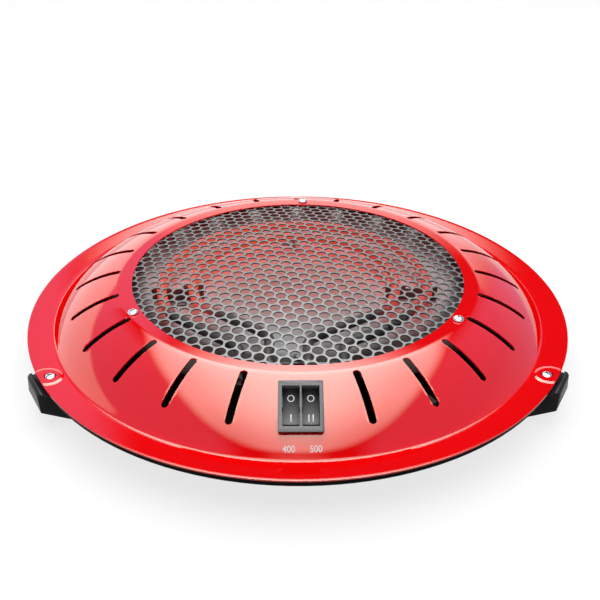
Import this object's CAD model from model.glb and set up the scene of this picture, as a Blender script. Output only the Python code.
import math

import bpy
from mathutils import Matrix, Vector


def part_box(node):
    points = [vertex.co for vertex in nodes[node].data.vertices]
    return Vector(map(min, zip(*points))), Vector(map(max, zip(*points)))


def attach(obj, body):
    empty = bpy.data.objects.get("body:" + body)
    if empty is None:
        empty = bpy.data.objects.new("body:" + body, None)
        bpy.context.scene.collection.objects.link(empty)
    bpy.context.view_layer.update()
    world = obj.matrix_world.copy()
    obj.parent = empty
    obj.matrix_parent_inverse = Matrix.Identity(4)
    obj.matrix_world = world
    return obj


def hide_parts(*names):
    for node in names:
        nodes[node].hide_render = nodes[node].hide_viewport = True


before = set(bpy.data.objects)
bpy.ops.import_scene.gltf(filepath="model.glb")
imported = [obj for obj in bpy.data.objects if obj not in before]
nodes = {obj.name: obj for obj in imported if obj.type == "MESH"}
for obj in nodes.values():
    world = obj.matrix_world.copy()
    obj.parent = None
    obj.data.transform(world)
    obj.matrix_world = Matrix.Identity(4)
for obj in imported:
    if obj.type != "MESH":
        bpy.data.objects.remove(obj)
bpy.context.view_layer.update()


# The camera stands where the photograph's stood, in front of the switch and a little above.
# Its place and turn were worked out from the rim and the slots.
camera_lens = bpy.data.cameras.new("camera")
camera_lens.lens = 51.2067
camera_lens.sensor_width = 36
camera_lens.clip_end = 30
camera_place = (-0.00642, -0.51421, 0.33270)
camera = bpy.data.objects.new("camera", camera_lens)
bpy.context.scene.collection.objects.link(camera)
camera_right = Vector((0.99991071, -0.0125509, 0.00458735))
camera_up = Vector((0.00240407, 0.50664482, 0.86215152))
camera_turn = Matrix((camera_right, camera_up, camera_right.cross(camera_up))).transposed()
camera.matrix_world = Matrix.Translation(camera_place) @ camera_turn.to_4x4()
bpy.context.scene.camera = camera
bpy.context.scene.view_settings.view_transform = "Standard"


# The floor is a plain white sheet. It takes the brazier's soft shadow, and what the camera and
# the gloss see of it is lifted to the white of the background.
floor_size = 14.0
floor_white = 0.24
floor_lift = 0.76
bpy.ops.mesh.primitive_grid_add(x_subdivisions=24, y_subdivisions=24, size=floor_size)
floor = bpy.context.object
floor.name = "floor"
floor_paper = bpy.data.materials.new("floor_paper")
floor_paper.use_nodes = True
paper = floor_paper.node_tree.nodes
paper_link = floor_paper.node_tree.links.new
paper["Principled BSDF"].inputs["Base Color"].default_value = (floor_white, floor_white, floor_white, 1)
paper["Principled BSDF"].inputs["Roughness"].default_value = 0.9
paper["Principled BSDF"].inputs["Specular IOR Level"].default_value = 0.1
paper_ray = paper.new("ShaderNodeLightPath")
paper_seen = paper.new("ShaderNodeMath")
paper_seen.operation = "MAXIMUM"
paper_link(paper_ray.outputs["Is Camera Ray"], paper_seen.inputs[0])
paper_link(paper_ray.outputs["Is Glossy Ray"], paper_seen.inputs[1])
paper_lift = paper.new("ShaderNodeMath")
paper_lift.operation = "MULTIPLY"
paper_lift.inputs[1].default_value = floor_lift
paper_link(paper_seen.outputs[0], paper_lift.inputs[0])
paper_glow = paper.new("ShaderNodeEmission")
paper_link(paper_lift.outputs[0], paper_glow.inputs["Strength"])
paper_sum = paper.new("ShaderNodeAddShader")
paper_link(paper["Principled BSDF"].outputs[0], paper_sum.inputs[0])
paper_link(paper_glow.outputs[0], paper_sum.inputs[1])
paper_link(paper_sum.outputs[0], paper["Material Output"].inputs["Surface"])
floor.data.materials.append(floor_paper)


# The studio. Lamps light what is matt, and gloss mirrors the room instead: an oval softbox
# overhead that is dimmer at its sides and front, dim walls, a dark gap, and white paper low down
# that is duller on the right. The camera sees white all round.
room_grey = 0.30
softbox_white = 10.5
softbox_half_width, softbox_behind, softbox_ahead = 0.58, 1.44, 0.92
softbox_side_curve, softbox_end_curve = 2.4, 2.8
softbox_edge_out, softbox_edge_in = 1.34, 0.70
softbox_side_loss, softbox_front_share = 0.48, 0.45
paper_white, paper_right = 2.2, 0.6
wall_left, wall_right, wall_back, wall_behind_left = 0.55, 0.50, 0.03, 0.60
wall_blue = 1.75
world = bpy.data.worlds.new("studio")
bpy.context.scene.world = world
world.use_nodes = True
room = world.node_tree.nodes
room_link = world.node_tree.links.new


def room_math(operation, first, second=None, third=None):
    """One sum in the room's shader. Each value is a number or another node's output."""
    node = room.new("ShaderNodeMath")
    node.operation = operation
    for socket, value in zip(node.inputs, (first, second, third)):
        if isinstance(value, (int, float)):
            socket.default_value = value
        elif value:
            room_link(value, socket)
    return node.outputs[0]


def room_fade(value, start, end):
    """Goes softly from 0 at start to 1 at end."""
    node = room.new("ShaderNodeMapRange")
    node.interpolation_type = "SMOOTHSTEP"
    room_link(value, node.inputs["Value"])
    node.inputs["From Min"].default_value = min(start, end)
    node.inputs["From Max"].default_value = max(start, end)
    node.inputs["To Min"].default_value = 0 if start < end else 1
    node.inputs["To Max"].default_value = 1 if start < end else 0
    return node.outputs["Result"]


room_view = room.new("ShaderNodeTexCoord")
room_axes = room.new("ShaderNodeSeparateXYZ")
room_link(room_view.outputs["Generated"], room_axes.inputs[0])
height = room_axes.outputs["Z"]
above = room_math("MAXIMUM", height, 0.02)
aside = room_math("DIVIDE", room_axes.outputs["X"], above)
behind = room_math("DIVIDE", room_axes.outputs["Y"], above)
edge_share = room_math("DIVIDE", room_math("ABSOLUTE", aside), softbox_half_width)
length_share = room_math("MAXIMUM", room_math("DIVIDE", behind, softbox_behind),
                         room_math("DIVIDE", behind, -softbox_ahead))
oval = room_math("ADD", room_math("POWER", edge_share, softbox_side_curve),
                 room_math("POWER", length_share, softbox_end_curve))
side_loss = room_math("MULTIPLY", room_fade(edge_share, 0.05, 0.9), softbox_side_loss)
back_gain = room_math("MULTIPLY", room_fade(behind, -0.9, 0.2), 1 - softbox_front_share)
softbox = room_math("MULTIPLY", room_fade(oval, softbox_edge_out, softbox_edge_in),
                    room_math("SUBTRACT", 1.0, side_loss))
softbox = room_math("MULTIPLY", softbox, room_math("ADD", softbox_front_share, back_gain))
glow = room_math("MULTIPLY", softbox, softbox_white)
paper_loss = room_math("MULTIPLY", room_fade(room_axes.outputs["X"], 0.2, 0.5), paper_white - paper_right)
low = room_math("MULTIPLY", room_fade(height, 0.46, 0.40), room_math("SUBTRACT", paper_white, paper_loss))
left = room_math("MULTIPLY", room_fade(room_axes.outputs["X"], -0.30, -0.50), wall_left)
right = room_math("MULTIPLY", room_fade(room_axes.outputs["X"], 0.30, 0.50), wall_right)
far_left = room_math("MULTIPLY", room_fade(behind, 1.40, 1.50), room_fade(aside, -0.22, -0.31))
far_left = room_math("MULTIPLY", far_left, wall_behind_left)
walls = room_math("ADD", room_math("MAXIMUM", room_math("ADD", left, right), far_left), wall_back)
bright = room_math("MAXIMUM", glow, low)
mirrored = room_math("MAXIMUM", bright, walls)
mirrored_blue = room_math("MAXIMUM", bright, room_math("MULTIPLY", walls, wall_blue))
room_ray = room.new("ShaderNodeLightPath")
plain = room_math("SUBTRACT", 1, room_ray.outputs["Is Glossy Ray"])
room_colour = room.new("ShaderNodeCombineColor")
for channel, light in (("Red", mirrored), ("Green", mirrored), ("Blue", mirrored_blue)):
    light = room_math("ADD", room_math("MULTIPLY", light, room_ray.outputs["Is Glossy Ray"]),
                      room_math("MULTIPLY", plain, room_grey))
    room_link(room_math("MAXIMUM", light, room_ray.outputs["Is Camera Ray"]), room_colour.inputs[channel])
room_link(room_colour.outputs[0], room["Background"].inputs["Color"])


def add_softbox(name, place, aim, width, length, radiance):
    """A flat lamp of one brightness all over that faces the point aim and isn't mirrored."""
    lamp = bpy.data.lights.new(name, "AREA")
    lamp.shape = "RECTANGLE"
    lamp.size = width
    lamp.size_y = length
    lamp.energy = radiance * math.pi * width * length
    box = bpy.data.objects.new(name, lamp)
    bpy.context.scene.collection.objects.link(box)
    box.location = place
    box.rotation_euler = (Vector(aim) - Vector(place)).to_track_quat("-Z", "Y").to_euler()
    box.visible_glossy = False


add_softbox("softbox_top", (0, 0, 1.50), (0, 0.001, 0), 1.60, 2.00, 2.4)
add_softbox("panel_left", (-2.2, 0.2, 1.2), (0, 0, 0), 1.6, 2.0, 0.45)
add_softbox("panel_right", (2.2, 0.2, 1.2), (0, 0, 0), 1.6, 2.0, 0.45)


# The top cover is pressed from one steel sheet: a flat ring round the opening, a dome with radial
# slots, and a slanted flange with a plain edge and three raised seats for the feet's screws. One
# profile is extruded outward, thickened and pierced, and the seats are let into the flange.
sheet = 0.0008
rim_r, rim_h = 0.1825, 0.0295
opening_r, ring_out_r = 0.1123, 0.1210
crease_r, crease_h, crease_bend = 0.1657, 0.0278, 0.0008
dome_arc, dome_mid_r, dome_mid_z = 0.0745, 0.1088, -0.02029
edge_in = 0.0001
slot_in_r, slot_out_r, slot_w, slot_count = 0.1212, 0.1536, 0.0047, 24
switch_r, switch_hole = 0.1424, (0.0222, 0.0286, 0.012)
foot_angles = [math.radians(90), math.radians(210), math.radians(330)]
foot_screw_r = 0.1754
seat_mid_r, seat_r, seat_rim_side = 0.1772, 0.0100, 0.0046
pad_r, pad_rise, pad_hole_r = 0.0074, 0.0003, 0.00368


def dome_z(r):
    return dome_mid_z + math.sqrt(dome_arc ** 2 - (r - dome_mid_r) ** 2)


def flange_z(r):
    return crease_h + (r - crease_r) * (rim_h - crease_h) / (rim_r - crease_r)


def only(piece):
    """Leaves one piece selected and active."""
    bpy.ops.object.select_all(action="DESELECT")
    piece.select_set(True)
    bpy.context.view_layer.objects.active = piece


def edit(piece):
    """Opens one piece for editing with all its points selected."""
    only(piece)
    bpy.ops.object.mode_set(mode="EDIT")
    bpy.ops.mesh.select_mode(type="VERT")
    bpy.ops.mesh.select_all(action="SELECT")


def done(piece, name):
    """Leaves editing, puts the piece's place in its mesh and names it."""
    bpy.ops.object.mode_set(mode="OBJECT")
    only(piece)
    bpy.ops.object.transform_apply(location=True, rotation=True, scale=True)
    piece.name = name


def shape_with(piece, kind, **settings):
    """Adds one modifier to a piece and applies it."""
    only(piece)
    modifier = piece.modifiers.new(kind.lower(), kind)
    for key, value in settings.items():
        setattr(modifier, key, value)
    bpy.ops.object.modifier_apply(modifier=modifier.name)


def copies_at(piece, places):
    """Puts a copy with its own mesh at each place, takes the first piece away and joins them."""
    for place in places:
        copy = piece.copy()
        copy.data = piece.data.copy()
        copy.data.transform(place)
        bpy.context.scene.collection.objects.link(copy)
        copy.select_set(True)
        bpy.context.view_layer.objects.active = copy
    bpy.data.objects.remove(piece)
    bpy.ops.object.join()
    return bpy.context.object


def around(angles, r, z):
    """Places at these angles round the disc's axis, each turned to face outward."""
    return [Matrix.Rotation(angle, 4, "Z") @ Matrix.Translation((r, 0, z)) for angle in angles]


def face_up(piece):
    """Turns an open sheet's faces so that, taken together, they look up."""
    if sum(face.normal.z * face.area for face in piece.data.polygons) < 0:
        piece.data.flip_normals()


def cut(piece, cutter):
    shape_with(piece, "BOOLEAN", operation="DIFFERENCE", solver="EXACT", object=cutter)
    bpy.data.objects.remove(cutter)


def smooth(piece, degrees):
    only(piece)
    bpy.ops.object.shade_smooth_by_angle(angle=math.radians(degrees))


profile = [(r, dome_z(ring_out_r)) for r in (opening_r, 0.1140, 0.1163, 0.1187)]
dome_steps = 24
for step in range(dome_steps + 1):
    r = ring_out_r + (crease_r - crease_bend - ring_out_r) * step / dome_steps
    profile.append((r, dome_z(r)))
bend_in = Vector((profile[-1][0], profile[-1][1]))
bend_out = Vector((crease_r + crease_bend, flange_z(crease_r + crease_bend)))
for t in (0.25, 0.5, 0.75):
    bend = bend_in * (1 - t) ** 2 + Vector((crease_r, crease_h)) * 2 * t * (1 - t) + bend_out * t ** 2
    profile.append((bend.x, bend.y))
flange_steps = 6
for step in range(flange_steps + 1):
    r = bend_out.x + (rim_r - edge_in - bend_out.x) * step / flange_steps
    profile.append((r, flange_z(r)))

bpy.ops.mesh.primitive_circle_add(vertices=240, radius=profile[0][0], location=(0, 0, profile[0][1]))
cover = bpy.context.object
edit(cover)
for (r_from, z_from), (r_to, z_to) in zip(profile, profile[1:]):
    bpy.ops.mesh.extrude_region_move(TRANSFORM_OT_translate={"value": (0, 0, z_to - z_from)})
    bpy.ops.transform.resize(value=(r_to / r_from, r_to / r_from, 1), center_override=(0, 0, 0))
bpy.ops.mesh.select_all(action="SELECT")
bpy.ops.mesh.normals_make_consistent(inside=False)
done(cover, "red_cover")
face_up(cover)
shape_with(cover, "SOLIDIFY", thickness=sheet, offset=-1, use_even_offset=True)

bpy.ops.mesh.primitive_cylinder_add(vertices=24, radius=slot_w / 2, depth=0.06)
slot_tool = bpy.context.object
for point in slot_tool.data.vertices:
    if point.co.x > slot_w / 1000:
        point.co.x += slot_out_r - slot_in_r - slot_w
bpy.ops.object.select_all(action="DESELECT")
slot_angles = [2 * math.pi * k / slot_count - math.pi / 2 for k in range(1, slot_count)]
cut(cover, copies_at(slot_tool, around(slot_angles, slot_in_r + slot_w / 2, 0.045)))

switch_tilt = math.asin((switch_r - dome_mid_r) / dome_arc)
switch_place = Matrix.Translation((0, -switch_r, dome_z(switch_r)))
switch_place @= Matrix.Rotation(switch_tilt, 4, "X")
bpy.ops.mesh.primitive_cube_add(size=1, scale=switch_hole)
switch_tool = bpy.context.object
bpy.ops.object.transform_apply(scale=True)
switch_tool.data.transform(switch_place)
cut(cover, switch_tool)

bpy.ops.mesh.primitive_cylinder_add(vertices=64, radius=seat_r, depth=0.02)
seat_tool = bpy.context.object
for point in seat_tool.data.vertices:
    point.co.x = min(point.co.x, seat_rim_side)
bpy.ops.object.select_all(action="DESELECT")
cut(cover, copies_at(seat_tool, around(foot_angles, seat_mid_r, 0.03)))
shape_with(cover, "BEVEL", width=0.00024, segments=2, limit_method="ANGLE", angle_limit=math.radians(50))

seat_tuck = 0.00005
seat_steps = 7
seat_out_r = seat_r + seat_tuck
bpy.ops.mesh.primitive_circle_add(vertices=64, radius=seat_out_r)
seat = bpy.context.object
edit(seat)
seat_rings = [seat_out_r + (pad_r - seat_out_r) * k / seat_steps for k in range(seat_steps + 1)]
seat_rings += [pad_r * 0.75, pad_r * 0.5, pad_r * 0.25]
for r_from, r_to in zip(seat_rings, seat_rings[1:]):
    bpy.ops.mesh.extrude_region_move()
    bpy.ops.transform.resize(value=(r_to / r_from, r_to / r_from, 1), center_override=(0, 0, 0))
bpy.ops.mesh.edge_face_add()
bpy.ops.mesh.select_all(action="SELECT")
bpy.ops.mesh.normals_make_consistent(inside=False)
done(seat, "seat")
for point in seat.data.vertices:
    rise = min(1, max(0, (seat_out_r - point.co.xy.length) / (seat_out_r - pad_r)))
    rise = rise * rise * (3 - 2 * rise)
    point.co.x = min(point.co.x, seat_rim_side + seat_tuck)
    point.co.z = flange_z(math.hypot(seat_mid_r + point.co.x, point.co.y)) - seat_tuck + pad_rise * rise
seat.data.update()
face_up(seat)
shape_with(seat, "SOLIDIFY", thickness=sheet, offset=-1)
bpy.ops.mesh.primitive_cylinder_add(vertices=48, radius=pad_hole_r, depth=0.02,
                                    location=(foot_screw_r - seat_mid_r, 0, 0.03))
pad_tool = bpy.context.object
only(pad_tool)
bpy.ops.object.transform_apply(location=True)
cut(seat, pad_tool)
bpy.ops.object.select_all(action="DESELECT")
cover.select_set(True)
cover = copies_at(seat, around(foot_angles, seat_mid_r, 0))
cover.name = "red_cover"
smooth(cover, 35)


def surface_marks():
    """A shader group of marks in object space: soft clouds, smudges, and a fine-grained normal."""
    group = bpy.data.node_groups.new("surface_marks", "ShaderNodeTree")
    for name in ("Cloud Scale", "Grain Scale", "Peel Height"):
        group.interface.new_socket(name, in_out="INPUT", socket_type="NodeSocketFloat")
    for name in ("Cloud", "Smudge"):
        group.interface.new_socket(name, in_out="OUTPUT", socket_type="NodeSocketFloat")
    group.interface.new_socket("Peel", in_out="OUTPUT", socket_type="NodeSocketVector")
    marks_in = group.nodes.new("NodeGroupInput")
    marks_out = group.nodes.new("NodeGroupOutput")
    place = group.nodes.new("ShaderNodeTexCoord")
    cloud = group.nodes.new("ShaderNodeTexNoise")
    cloud.inputs["Detail"].default_value = 4
    grain = group.nodes.new("ShaderNodeTexNoise")
    grain.inputs["Detail"].default_value = 2
    smudge = group.nodes.new("ShaderNodeTexNoise")
    smudge.inputs["Scale"].default_value = 140
    smudge.inputs["Distortion"].default_value = 1.5
    smudge_range = group.nodes.new("ShaderNodeMapRange")
    smudge_range.inputs["From Min"].default_value = 0.5
    smudge_range.inputs["From Max"].default_value = 0.75
    peel = group.nodes.new("ShaderNodeBump")
    peel.inputs["Strength"].default_value = 1
    for noise in (cloud, grain, smudge):
        group.links.new(place.outputs["Object"], noise.inputs["Vector"])
    group.links.new(marks_in.outputs["Cloud Scale"], cloud.inputs["Scale"])
    group.links.new(marks_in.outputs["Grain Scale"], grain.inputs["Scale"])
    group.links.new(marks_in.outputs["Peel Height"], peel.inputs["Distance"])
    group.links.new(grain.outputs["Fac"], peel.inputs["Height"])
    group.links.new(smudge.outputs["Fac"], smudge_range.inputs["Value"])
    group.links.new(cloud.outputs["Fac"], marks_out.inputs["Cloud"])
    group.links.new(smudge_range.outputs["Result"], marks_out.inputs["Smudge"])
    group.links.new(peel.outputs["Normal"], marks_out.inputs["Peel"])
    return group


marks_group = surface_marks()


def marked_material(name, light, dark, rough, smudged, metal, shine, cloud_scale, grain_scale, peel_height):
    """A material whose colour drifts from light to dark, with smudges that change its gloss."""
    finish = bpy.data.materials.new(name)
    finish.use_nodes = True
    tree = finish.node_tree
    marks = tree.nodes.new("ShaderNodeGroup")
    marks.node_tree = marks_group
    marks.inputs["Cloud Scale"].default_value = cloud_scale
    marks.inputs["Grain Scale"].default_value = grain_scale
    marks.inputs["Peel Height"].default_value = peel_height
    tint = tree.nodes.new("ShaderNodeMix")
    tint.name = "tint"
    tint.data_type = "RGBA"
    tint.inputs["A"].default_value = (*light, 1)
    tint.inputs["B"].default_value = (*dark, 1)
    gloss = tree.nodes.new("ShaderNodeMapRange")
    gloss.inputs["To Min"].default_value = rough
    gloss.inputs["To Max"].default_value = smudged
    shader = tree.nodes["Principled BSDF"]
    shader.inputs["Metallic"].default_value = metal
    shader.inputs["Specular IOR Level"].default_value = shine
    tree.links.new(marks.outputs["Cloud"], tint.inputs["Factor"])
    tree.links.new(marks.outputs["Smudge"], gloss.inputs["Value"])
    tree.links.new(tint.outputs["Result"], shader.inputs["Base Color"])
    tree.links.new(gloss.outputs["Result"], shader.inputs["Roughness"])
    tree.links.new(marks.outputs["Peel"], shader.inputs["Normal"])
    return finish


enamel_mirror = 0.5
enamel = marked_material("red_enamel", (0.81, 0.0015, 0.0022), (0.75, 0.0014, 0.002), 0.02, 0.05,
                         0, enamel_mirror, 30, 900, 6e-6)
enamel_gloss = enamel.node_tree.nodes["Principled BSDF"]
enamel_gloss.inputs["IOR"].default_value = 1.55
enamel_gloss.inputs["Specular Tint"].default_value = (1, 0.99, 0.86, 1)
enamel_ray = enamel.node_tree.nodes.new("ShaderNodeLightPath")
enamel_shine = enamel.node_tree.nodes.new("ShaderNodeMapRange")
enamel_shine.inputs["To Min"].default_value = enamel_mirror
enamel_shine.inputs["To Max"].default_value = 0
enamel.node_tree.links.new(enamel_ray.outputs["Is Glossy Ray"], enamel_shine.inputs["Value"])
enamel.node_tree.links.new(enamel_shine.outputs["Result"], enamel_gloss.inputs["Specular IOR Level"])
cover.data.materials.append(enamel)
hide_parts("top_cover")
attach(cover, "housing")


# The crowned grille is steel sheet pierced by rows of round holes. One six-sided cell with its
# hole is repeated in two directions, turned and shifted as the rows lie, trimmed round, crowned
# and thickened. Cells past the opening and round the three screws stay whole.
hole_pitch, hole_r = 0.00794, 0.00345
row_turn, row_shift = math.radians(-15.1), (0.0041, 0.0039)
hole_field_r = opening_r + 0.0008
grille_r, crown_r, grille_top = 0.1205, 0.111, 0.0599
grille_foot = dome_z(ring_out_r) - sheet
grille_screw_angles = [math.radians(87.5), math.radians(207.5), math.radians(327.5)]
grille_screw_r, screw_keep = 0.11769, 0.00635
crown_ball = (crown_r ** 2 + (grille_top - grille_foot) ** 2) / (2 * (grille_top - grille_foot))
bpy.ops.mesh.primitive_circle_add(vertices=6, radius=hole_pitch / math.sqrt(3), fill_type="NGON")
grille = bpy.context.object
edit(grille)
bpy.ops.mesh.subdivide(number_cuts=2)
bpy.ops.mesh.select_all(action="SELECT")
bpy.ops.mesh.inset(thickness=0.0004)
bpy.ops.transform.tosphere(value=1)
bpy.ops.object.mode_set(mode="OBJECT")
hole_edge = [point for point in grille.data.vertices if point.select]
hole_now = hole_edge[0].co.length
for point in hole_edge:
    point.co *= hole_r / hole_now
reach = math.ceil(grille_r / hole_pitch) + 2
rows = math.ceil(grille_r / hole_pitch * 2 / math.sqrt(3)) + 2
row_step = Vector((hole_pitch / 2, hole_pitch * math.sqrt(3) / 2, 0))
across = reach + rows // 2
for count, step in ((2 * across + 1, Vector((hole_pitch, 0, 0))), (2 * rows + 1, row_step)):
    shape_with(grille, "ARRAY", count=count, use_relative_offset=False, use_constant_offset=True,
               constant_offset_displace=step, use_merge_vertices=True, merge_threshold=1e-5)
first_cell = Vector((row_shift[0] - across * hole_pitch, row_shift[1], 0)) - rows * row_step
grille.data.transform(Matrix.Translation(first_cell))
grille.data.transform(Matrix.Rotation(row_turn, 4, "Z"))
screw_points = [place.translation.xy for place in around(grille_screw_angles, grille_screw_r, 0)]
for field in grille.data.polygons:
    at = field.center.xy
    is_hole = len(field.vertices) > 4 and at.length < hole_field_r
    from_screw = min((at - screw_point).length for screw_point in screw_points)
    field.select = at.length > grille_r or (is_hole and from_screw > screw_keep)
bpy.ops.object.mode_set(mode="EDIT")
bpy.ops.mesh.select_mode(type="FACE")
bpy.ops.mesh.delete(type="FACE")
bpy.ops.object.mode_set(mode="OBJECT")
for point in grille.data.vertices:
    if point.co.xy.length > grille_r:
        point.co *= grille_r / point.co.xy.length
    r = min(point.co.xy.length, crown_r)
    point.co.z = grille_top - crown_ball + math.sqrt(crown_ball ** 2 - r ** 2)
done(grille, "pierced_grille")
face_up(grille)
shape_with(grille, "SOLIDIFY", thickness=sheet, offset=-1)
smooth(grille, 35)
grille_steel = marked_material("grille_steel", (0.098, 0.10, 0.097), (0.07, 0.072, 0.072), 0.42, 0.55,
                               1, 0.5, 40, 1500, 4e-6)
grille.data.materials.append(grille_steel)
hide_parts("grille")
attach(grille, "housing")


# The pan-headed screws that show: three hold the grille under the cover's ring, and three stand
# in the cover's seats over the feet. One screw is modelled, cross recess and all, then copied.
def pan_screw(name, head_r, shank_r, shank_l, places, node):
    """Pan-headed screws of one size, at these places, that stand for one CAD node."""
    head_h, recess_d, point_in, point_h = 0.0022, 0.0009, 0.0004, 0.0008
    bpy.ops.mesh.primitive_circle_add(vertices=32, radius=shank_r - point_in, fill_type="NGON",
                                      location=(0, 0, -shank_l))
    screw = bpy.context.object
    edit(screw)
    steps = [(shank_r, point_h), (shank_r, shank_l - point_h), (head_r, 0), (head_r, 0.35 * head_h)]
    steps += [(head_r * math.cos(a), 0.65 * head_h * (math.sin(a) - math.sin(b)))
              for a, b in ((0.4, 0), (0.8, 0.4), (1.1, 0.8), (1.35, 1.1))]
    r_now = shank_r - point_in
    for r_next, rise in steps:
        bpy.ops.mesh.extrude_region_move(TRANSFORM_OT_translate={"value": (0, 0, rise)})
        bpy.ops.transform.resize(value=(r_next / r_now, r_next / r_now, 1), center_override=(0, 0, 0))
        r_now = r_next
    bpy.ops.mesh.select_all(action="SELECT")
    bpy.ops.mesh.normals_make_consistent(inside=False)
    done(screw, name)
    for turn in (0, math.radians(90)):
        bpy.ops.mesh.primitive_cube_add(size=1, scale=(head_r * 1.05, head_r * 0.22, recess_d * 2))
        blade = bpy.context.object
        bpy.ops.object.transform_apply(scale=True)
        blade.data.transform(Matrix.Translation((0, 0, head_h)) @ Matrix.Rotation(turn + 0.5, 4, "Z"))
        cut(screw, blade)
    smooth(screw, 40)
    bpy.ops.object.select_all(action="DESELECT")
    screws = copies_at(screw, places)
    screws.name = name
    screws.data.materials.append(screw_steel)
    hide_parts(node)
    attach(screws, "housing")


screw_steel = marked_material("screw_steel", (0.55, 0.55, 0.54), (0.4, 0.4, 0.41), 0.18, 0.34,
                              1, 0.5, 300, 2500, 2e-6)
grille_screw_places = around(grille_screw_angles, grille_screw_r, dome_z(ring_out_r))
pan_screw("grille_pan_screws", 0.0035, 0.0016, 0.007, grille_screw_places, "grille_screws")
foot_screw_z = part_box("base_pan")[1].z + sheet
foot_screw_places = around(foot_angles, foot_screw_r, foot_screw_z)
pan_screw("foot_pan_screws", 0.0036, 0.00195, 0.011, foot_screw_places, "foot_screws")


# The base pan is pressed from steel and painted black. It is one clean mesh of the frame's pan with
# softened edges. Its turned edge is shortened, and a ring shows right under the cover's rim.
def softened(node, name, edge, body, finish, refine=None, added=None):
    """A copy of a CAD node with its flat fields merged and its sharp edges rounded by edge."""
    piece = nodes[node].copy()
    piece.data = nodes[node].data.copy()
    piece.parent = None
    piece.matrix_world = Matrix.Identity(4)
    bpy.context.scene.collection.objects.link(piece)
    edit(piece)
    bpy.ops.mesh.remove_doubles(threshold=1e-6)
    bpy.ops.mesh.dissolve_limited(angle_limit=math.radians(0.5))
    done(piece, name)
    if refine:
        for point in piece.data.vertices:
            refine(point.co)
    if added:
        shape_with(piece, "BOOLEAN", operation="UNION", solver="EXACT", object=added)
        bpy.data.objects.remove(added)
    if edge:
        shape_with(piece, "BEVEL", width=edge, segments=2, limit_method="ANGLE", angle_limit=math.radians(40))
    smooth(piece, 35)
    piece.data.materials.clear()
    piece.data.materials.append(finish)
    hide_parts(node)
    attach(piece, body)
    return piece


pan_edge_r, pan_edge_low, pan_edge_top, pan_edge_tuck = 0.1812, 0.0248, 0.0284, 0.0005
pan_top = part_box("base_pan")[1].z


def shorten_edge(co):
    """Ends the pan's turned edge at the height where it shows under the cover."""
    if co.xy.length > pan_edge_r - 2 * sheet and co.z < pan_edge_low:
        co.z = pan_edge_low


bpy.ops.mesh.primitive_circle_add(vertices=180, radius=pan_edge_r - 0.1 * pan_edge_tuck,
                                  location=(0, 0, pan_top - pan_edge_tuck))
pan_edge = bpy.context.object
edit(pan_edge)
pan_edge_h = pan_edge_top - pan_top + pan_edge_tuck
bpy.ops.mesh.extrude_region_move(TRANSFORM_OT_translate={"value": (0, 0, pan_edge_h)})
bpy.ops.mesh.select_all(action="SELECT")
bpy.ops.mesh.normals_make_consistent(inside=False)
done(pan_edge, "pan_edge")
pan_wall = pan_edge.data.polygons[0]
if pan_wall.normal.dot(pan_wall.center.to_2d().to_3d()) < 0:
    pan_edge.data.flip_normals()
shape_with(pan_edge, "SOLIDIFY", thickness=0.8 * sheet, offset=-1)
black_paint = marked_material("black_paint", (0.004, 0.004, 0.004), (0.007, 0.007, 0.007), 0.45, 0.6,
                              0, 0.03, 25, 1200, 4e-6)
softened("base_pan", "black_base_pan", 0.0002, "housing", black_paint, shorten_edge, pan_edge)


# The three feet are moulded in black plastic and screwed to the flange, each with a bar past the
# rim as a grip. They are the frame's feet with a flatter grip, a filled groove and a squarer toe.
foot_w, foot_corner, foot_out_r, toe_top_z = 0.027, 0.005, 0.187, 0.016
grip_mid_z, grip_flat = 0.0252, 0.45
groove_z, groove_reach, groove_rise, groove_in_r = 0.0205, 0.0003, 0.0038, 0.1790


def refine_foot(co, angle):
    """Flattens the grip's round top, fills its groove and squares the corners of the toe."""
    out = Vector((math.cos(angle), math.sin(angle), 0))
    along = Vector((-out.y, out.x, 0))
    across = co.dot(along)
    at_end = co.dot(out) > foot_out_r - foot_corner
    if co.dot(out) > groove_in_r and abs(co.z - groove_z) < groove_reach:
        co.z += groove_rise
    elif at_end and co.z > grip_mid_z:
        co.z = grip_mid_z + (co.z - grip_mid_z) * grip_flat
    if at_end and co.z < toe_top_z and abs(across) > foot_w / 2 - foot_corner:
        co += along * (math.copysign(foot_w / 2, across) - across)


foot_plastic = marked_material("foot_plastic", (0.009, 0.009, 0.0093), (0.013, 0.013, 0.0133), 0.34, 0.45,
                               0, 0.1, 60, 1800, 1e-5)
for side, angle in zip(("back", "left", "right"), foot_angles):
    softened("foot_" + side, "moulded_foot_" + side, 0.0004, "housing", foot_plastic,
             lambda co: refine_foot(co, angle))


# The twin rocker switch is moulded in plastic and snaps into the cover: a grey bezel and two black
# rockers. A rocker's shine rises from its far end to its near end, as its face curves up to the
# light, and the enamel doesn't mirror it.
shine_far_y, shine_near_y, shine_far, shine_near = -0.138, -0.152, 0.01, 0.30
bezel_plastic = marked_material("bezel_plastic", (0.032, 0.032, 0.032), (0.04, 0.04, 0.04), 0.26, 0.36,
                                0, 0.34, 90, 2500, 6e-6)
softened("switch_housing", "switch_bezel", 0.00025, "housing", bezel_plastic)
rocker_plastic = marked_material("rocker_plastic", (0.005, 0.005, 0.005), (0.008, 0.008, 0.008), 0.12, 0.18,
                                 0, shine_near, 90, 2500, 3e-6)
rocker_tree = rocker_plastic.node_tree
rocker_place = rocker_tree.nodes.new("ShaderNodeTexCoord")
rocker_axes = rocker_tree.nodes.new("ShaderNodeSeparateXYZ")
rocker_tree.links.new(rocker_place.outputs["Object"], rocker_axes.inputs[0])
rocker_shine = rocker_tree.nodes.new("ShaderNodeMapRange")
rocker_shine.inputs["From Min"].default_value = shine_far_y
rocker_shine.inputs["From Max"].default_value = shine_near_y
rocker_shine.inputs["To Min"].default_value = shine_far
rocker_shine.inputs["To Max"].default_value = shine_near
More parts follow.
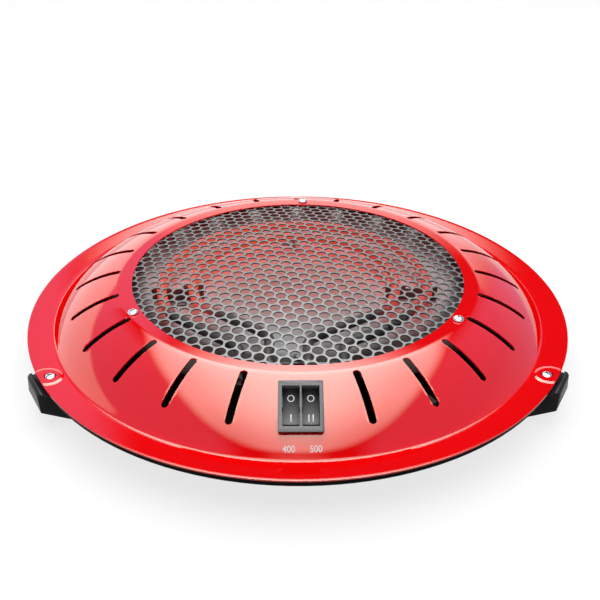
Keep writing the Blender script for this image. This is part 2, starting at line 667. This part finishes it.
rocker_gloss = rocker_tree.nodes["Principled BSDF"]
rocker_tree.links.new(rocker_axes.outputs["Y"], rocker_shine.inputs["Value"])
rocker_tree.links.new(rocker_shine.outputs["Result"], rocker_gloss.inputs["Specular IOR Level"])
rockers = {side: softened("rocker_" + side, "moulded_rocker_" + side, 0.00025,
                          side + "_rocker", rocker_plastic) for side in ("left", "right")}
for rocker in rockers.values():
    rocker.visible_glossy = False


# Marks moulded in white on the rockers: a ring for off, and one bar or two for on. Each is laid
# on the rocker's own face, which a ray from above the switch finds.
mark_h, bar_w, bar_l = 0.00012, 0.00065, 0.0041
ring_mark_r, ring_mark_wire, ring_mark_flat = 0.0017, 0.00025, 0.3
off_y, on_y, bar_x = 0.0032, -0.00765, 0.00115
mark_white = marked_material("mark_white", (0.8, 0.8, 0.8), (0.72, 0.72, 0.72), 0.45, 0.55,
                             0, 0.2, 200, 2500, 2e-6)


def lay_mark(mark, side, x, y, name):
    """Lays a mark, made flat on z = 0, on a rocker at x, y of the switch's face."""
    down = switch_place.to_3x3() @ Vector((0, 0, -1))
    _, point, normal, _ = rockers[side].ray_cast(switch_place @ Vector((x, y, 0.02)), down)
    ahead = switch_place.to_3x3() @ Vector((1, 0, 0))
    turn = Matrix((ahead, normal.cross(ahead), normal)).transposed().to_4x4()
    done(mark, name)
    mark.data.transform(Matrix.Translation(point) @ turn)
    smooth(mark, 40)
    mark.data.materials.append(mark_white)
    mark.visible_glossy = False
    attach(mark, side + "_rocker")


for side, side_x, bars in (("left", -0.0054, (0,)), ("right", 0.0054, (-bar_x, bar_x))):
    bpy.ops.mesh.primitive_torus_add(major_segments=40, minor_segments=8,
                                     major_radius=ring_mark_r, minor_radius=ring_mark_wire)
    ring = bpy.context.object
    ring.scale.z = ring_mark_flat
    lay_mark(ring, side, side_x, off_y, "off_mark_" + side)
    for number, x in enumerate(bars):
        bpy.ops.mesh.primitive_cube_add(size=1, scale=(bar_w, bar_l, mark_h * 2))
        bar = bpy.context.object
        bpy.ops.object.transform_apply(scale=True)
        shape_with(bar, "BEVEL", width=0.00006, segments=2)
        lay_mark(bar, side, side_x + x, on_y, "on_mark_" + side + "_" + str(number + 1))


# The power of each rocker's heating is printed in white under it, as plain numbers. The figures
# are laid along the dome, down its slope and round its axis, a twentieth of a millimetre proud.
number_mid_r, number_h, number_w, print_h = 0.1613, 0.0036, 0.62, 0.00005
figure_share, number_bold = 0.7, 0.00007
number_slope = math.asin((number_mid_r - dome_mid_r) / dome_arc)
for text, x in (("400", -0.0066), ("500", 0.0080)):
    bpy.ops.object.text_add()
    number = bpy.context.object
    number.data.body = text
    number.data.size = number_h / figure_share
    number.data.offset = number_bold
    number.data.align_x = "CENTER"
    number.data.align_y = "CENTER"
    bpy.ops.object.convert(target="MESH")
    edit(number)
    bpy.ops.mesh.dissolve_limited(angle_limit=math.radians(1))
    bpy.ops.mesh.quads_convert_to_tris()
    done(number, "printed_" + text)
    for point in number.data.vertices:
        slope = number_slope - point.co.y / dome_arc
        r = dome_mid_r + (dome_arc + print_h) * math.sin(slope)
        z = dome_mid_z + (dome_arc + print_h) * math.cos(slope)
        turn = (x + point.co.x * number_w / figure_share) / number_mid_r
        point.co = (r * math.sin(turn), -r * math.cos(turn), z)
    number.data.materials.append(mark_white)
    number.visible_glossy = False
    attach(number, "housing")


# The two heating elements are sheathed tubes that glow where they are hot: a brighter red at the
# left and the back, a deeper one at the right. Their ends at the front stay dark.
glow_seen, glow_cast = 0.6, 4.0
bright_glow, deep_glow = (0.95, 0.085, 0.04, 1), (0.75, 0.04, 0.028, 1)
hot_from_y, hot_full_y = -0.050, -0.030
deep_from_x, deep_full_x = -0.01, 0.06
sheath = marked_material("element_sheath", (0.05, 0.045, 0.045), (0.09, 0.075, 0.07), 0.5, 0.65,
                         0.3, 0.2, 120, 1500, 1e-5)
heat = sheath.node_tree.nodes
heat_link = sheath.node_tree.links.new
heat_place = heat.new("ShaderNodeTexCoord")
heat_split = heat.new("ShaderNodeSeparateXYZ")
heat_link(heat_place.outputs["Object"], heat_split.inputs[0])
heat_start = heat.new("ShaderNodeMapRange")
heat_start.interpolation_type = "SMOOTHSTEP"
heat_start.inputs["From Min"].default_value = hot_from_y
heat_start.inputs["From Max"].default_value = hot_full_y
heat_link(heat_split.outputs["Y"], heat_start.inputs["Value"])
heat_side = heat.new("ShaderNodeMapRange")
heat_side.interpolation_type = "SMOOTHSTEP"
heat_side.inputs["From Min"].default_value = deep_from_x
heat_side.inputs["From Max"].default_value = deep_full_x
heat_link(heat_split.outputs["X"], heat_side.inputs["Value"])
heat_tint = heat.new("ShaderNodeMix")
heat_tint.data_type = "RGBA"
heat_tint.inputs["A"].default_value = bright_glow
heat_tint.inputs["B"].default_value = deep_glow
heat_link(heat_side.outputs["Result"], heat_tint.inputs["Factor"])
heat_link(heat_tint.outputs["Result"], heat["Principled BSDF"].inputs["Emission Color"])
heat_ray = heat.new("ShaderNodeLightPath")
heat_power = heat.new("ShaderNodeMix")
heat_power.inputs["A"].default_value = glow_cast
heat_power.inputs["B"].default_value = glow_seen
heat_link(heat_ray.outputs["Is Camera Ray"], heat_power.inputs["Factor"])
heat_level = heat.new("ShaderNodeMath")
heat_level.operation = "MULTIPLY"
heat_link(heat_start.outputs["Result"], heat_level.inputs[0])
heat_link(heat_power.outputs["Result"], heat_level.inputs[1])
heat_link(heat_level.outputs[0], heat["Principled BSDF"].inputs["Emission Strength"])
for which in ("inner", "outer"):
    softened(which + "_element", "glowing_" + which + "_element", 0, "housing", sheath)


# Under the elements lies a spun aluminium reflector, clouded by heat. It is tinted red behind its
# middle, where it throws back the glow, and dark far in front, where only the slots show it.
glow_mid = (0, 0.035, 0)
glow_full_r, glow_end_r, glow_red = 0.040, 0.095, (0.29, 0.125, 0.115, 1)
dark_from_r, dark_full_r, dark_tint = 0.108, 0.118, (0.02, 0.019, 0.018, 1)
reflector_metal = marked_material("reflector_aluminium", (0.24, 0.235, 0.235), (0.20, 0.195, 0.195),
                                  0.55, 0.65, 0.4, 0.2, 18, 1500, 8e-6)
dish = reflector_metal.node_tree.nodes
dish_link = reflector_metal.node_tree.links.new
dish_place = dish.new("ShaderNodeTexCoord")
dish_flat = dish.new("ShaderNodeVectorMath")
dish_flat.operation = "MULTIPLY"
dish_flat.inputs[1].default_value = (1, 1, 0)
dish_link(dish_place.outputs["Object"], dish_flat.inputs[0])
dish_reach = dish.new("ShaderNodeVectorMath")
dish_reach.operation = "DISTANCE"
dish_reach.inputs[1].default_value = glow_mid
dish_link(dish_flat.outputs[0], dish_reach.inputs[0])
dish_colour = dish["tint"].outputs["Result"]
for r_from, r_to, share_from, share_to, tint in (
    (glow_full_r, glow_end_r, 1, 0, glow_red),
    (dark_from_r, dark_full_r, 0, 1, dark_tint),
):
    share = dish.new("ShaderNodeMapRange")
    share.interpolation_type = "SMOOTHSTEP"
    share.inputs["From Min"].default_value = r_from
    share.inputs["From Max"].default_value = r_to
    share.inputs["To Min"].default_value = share_from
    share.inputs["To Max"].default_value = share_to
    dish_link(dish_reach.outputs["Value"], share.inputs["Value"])
    tinted = dish.new("ShaderNodeMix")
    tinted.data_type = "RGBA"
    tinted.inputs["B"].default_value = tint
    dish_link(share.outputs["Result"], tinted.inputs["Factor"])
    dish_link(dish_colour, tinted.inputs["A"])
    dish_colour = tinted.outputs["Result"]
dish_link(dish_colour, dish["Principled BSDF"].inputs["Base Color"])
softened("reflector", "spun_reflector", 0, "housing", reflector_metal)


# The small pieces inside keep the frame's own meshes and take a finish each: dull plated steel for
# the posts, clips, bracket and pins, bright steel, glazed ceramic, brass, and the feet's plastic.
plated = marked_material("plated_steel", (0.12, 0.12, 0.12), (0.08, 0.08, 0.085), 0.5, 0.6,
                         1, 0.5, 200, 2500, 3e-6)
ceramic = marked_material("ceramic_glaze", (0.80, 0.77, 0.70), (0.70, 0.66, 0.58), 0.2, 0.35,
                          0, 0.3, 150, 2500, 3e-6)
brass = marked_material("terminal_brass", (0.72, 0.55, 0.25), (0.58, 0.42, 0.18), 0.25, 0.4,
                        1, 0.5, 300, 2500, 2e-6)
for finish, names in (
    (screw_steel, ("grille_nuts", "base_screws")),
    (plated, ("reflector_posts", "reflector_screws", "element_clips", "terminal_bracket",
              "element_bushes", "terminal_pins", "bracket_screws")),
    (ceramic, ("end_beads", "terminal_block")),
    (brass, ("switch_terminals",)),
    (foot_plastic, ("cord_gland",)),
):
    for name in names:
        for place in nodes[name].material_slots:
            place.material = finish
